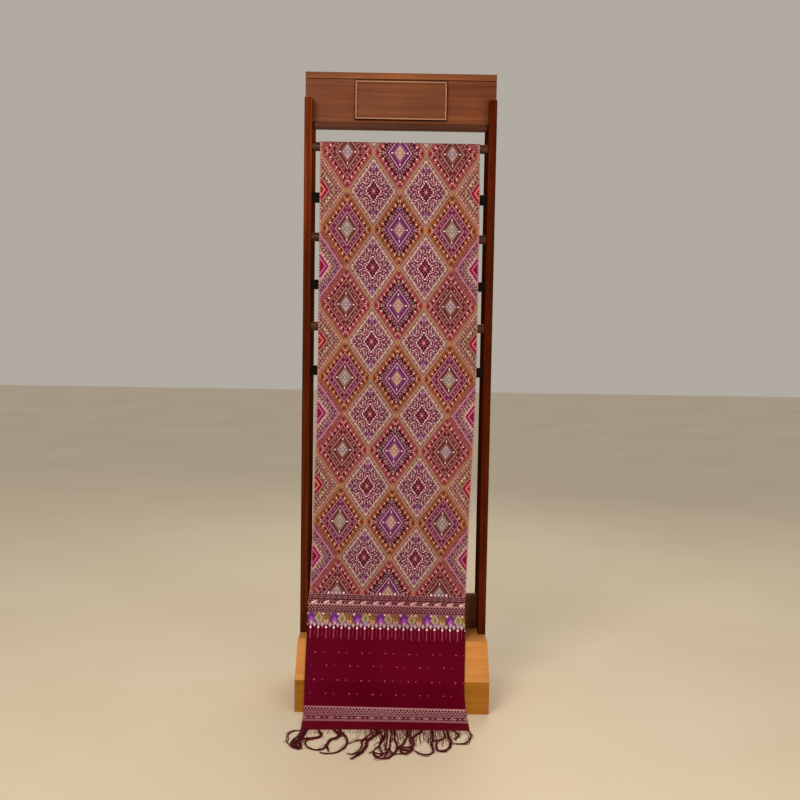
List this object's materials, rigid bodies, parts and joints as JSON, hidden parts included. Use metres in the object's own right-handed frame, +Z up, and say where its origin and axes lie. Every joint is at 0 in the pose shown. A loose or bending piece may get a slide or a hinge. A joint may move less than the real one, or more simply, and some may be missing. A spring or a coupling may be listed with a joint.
{
  "type": "silk shawl on a wooden display stand",
  "caption": "Long woven silk shawl with fringed ends, hung over the top rail of an upright wooden display stand and laid over its plinth onto the floor.",
  "frame": {"origin": "middle of the plinth's underside, on the floor", "axes": "+Z up, X across the stand, -Y towards the viewer, the way the shawl's front end runs out"},
  "size_m": [0.5987, 0.7018, 1.9683],
  "materials": {
    "brocade_silk": "soft silk sheen over a raised weave",
    "fringe_silk": "loose silk threads",
    "light_wood": "satin lacquer",
    "dark_wood": "satin lacquer",
    "rail_wood": "satin lacquer",
    "black_wood": "dull stain"
  },
  "bodies": {
    "root": {"shawl": "brocade_silk", "fringe_front": "fringe_silk", "fringe_back": "fringe_silk", "plinth": "light_wood", "upright_left": "dark_wood", "upright_right": "dark_wood", "header_board": "dark_wood", "header_cap": "dark_wood", "header_rail": "dark_wood", "sign_plate": "dark_wood", "hang_rail_1": "rail_wood", "hang_rail_2": "rail_wood", "hang_rail_3": "rail_wood", "cross_bar_1": "black_wood", "cross_bar_2": "black_wood", "cross_bar_3": "black_wood", "bottom_rail": "dark_wood"}
  },
  "joints": []
}
